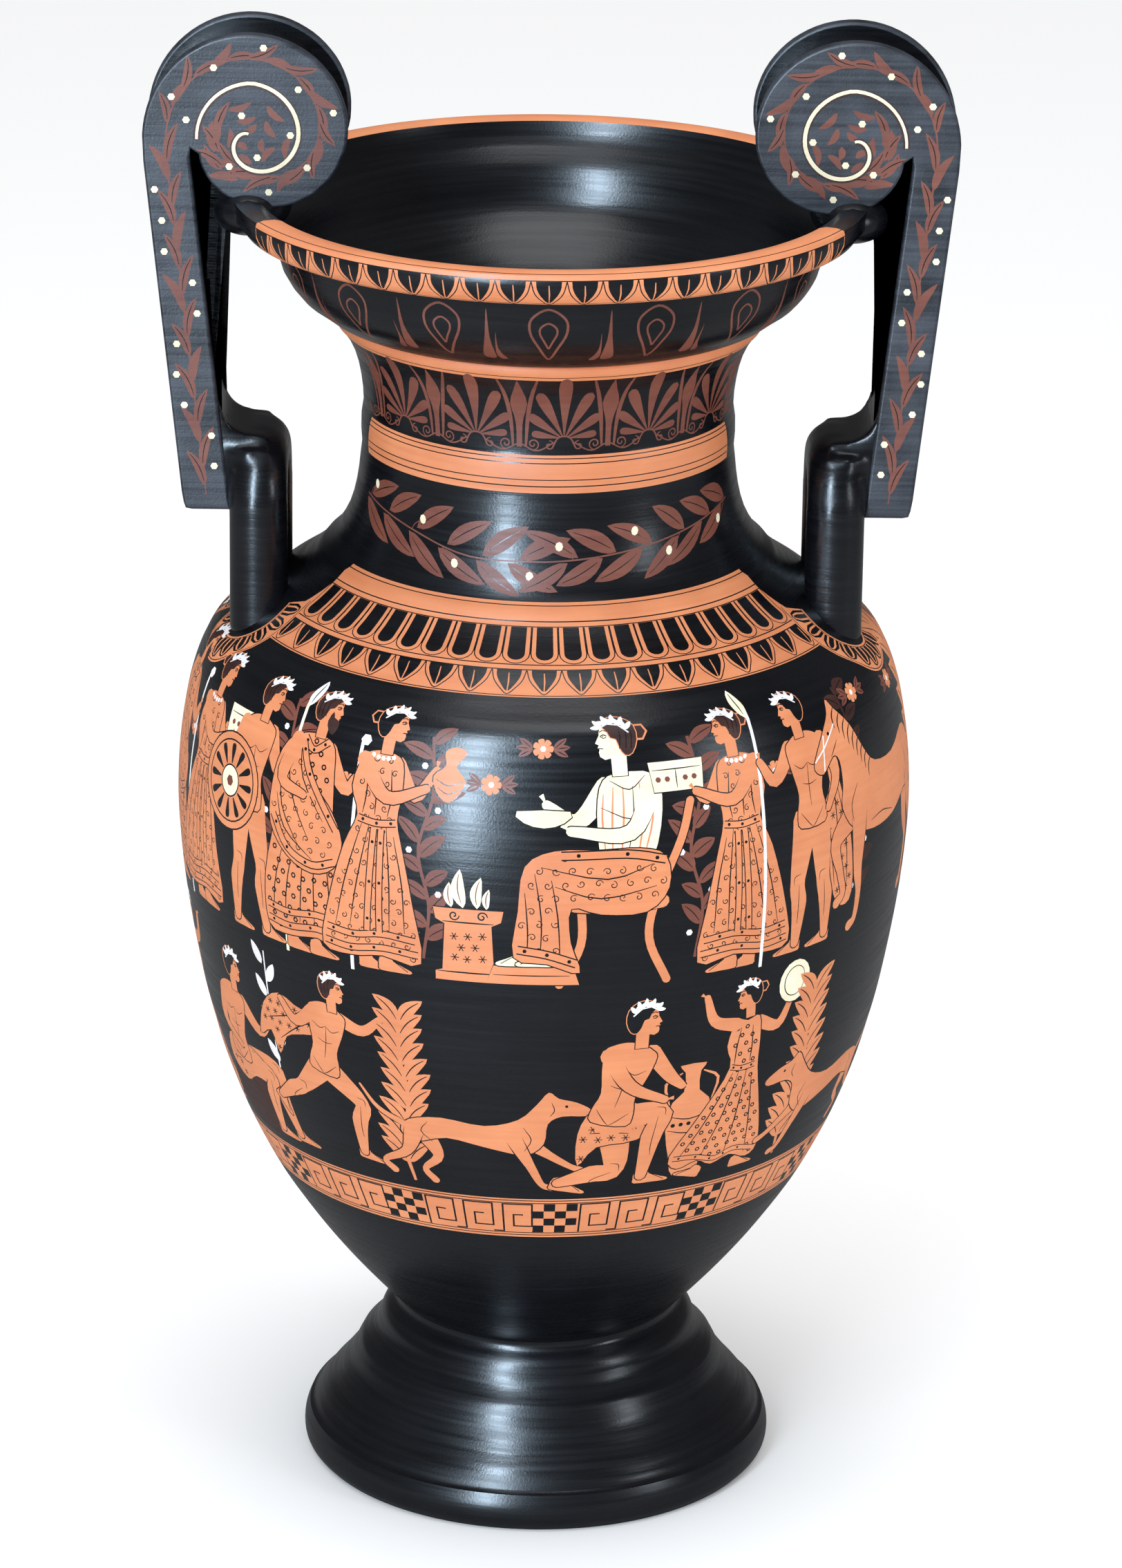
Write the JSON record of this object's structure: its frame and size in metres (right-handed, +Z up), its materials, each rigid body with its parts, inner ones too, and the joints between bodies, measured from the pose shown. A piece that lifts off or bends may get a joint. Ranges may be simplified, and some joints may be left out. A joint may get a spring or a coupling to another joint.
{
  "type": "volute krater",
  "caption": "Tall hollow ceramic mixing vase on a moulded foot, with a flaring neck, loop handles on the shoulder and volute handles that rise above the lip.",
  "frame": {"origin": "on the ground under the middle of the foot", "axes": "+Z up along the vessel's axis, the two handles lie along X, the painted front faces -Y"},
  "size_m": [0.396, 0.3674, 0.7478],
  "materials": {
    "fired_clay": "satin black slip over fired orange clay, with painted bands and figures"
  },
  "bodies": {
    "root": {"krater": "fired_clay"}
  },
  "joints": []
}
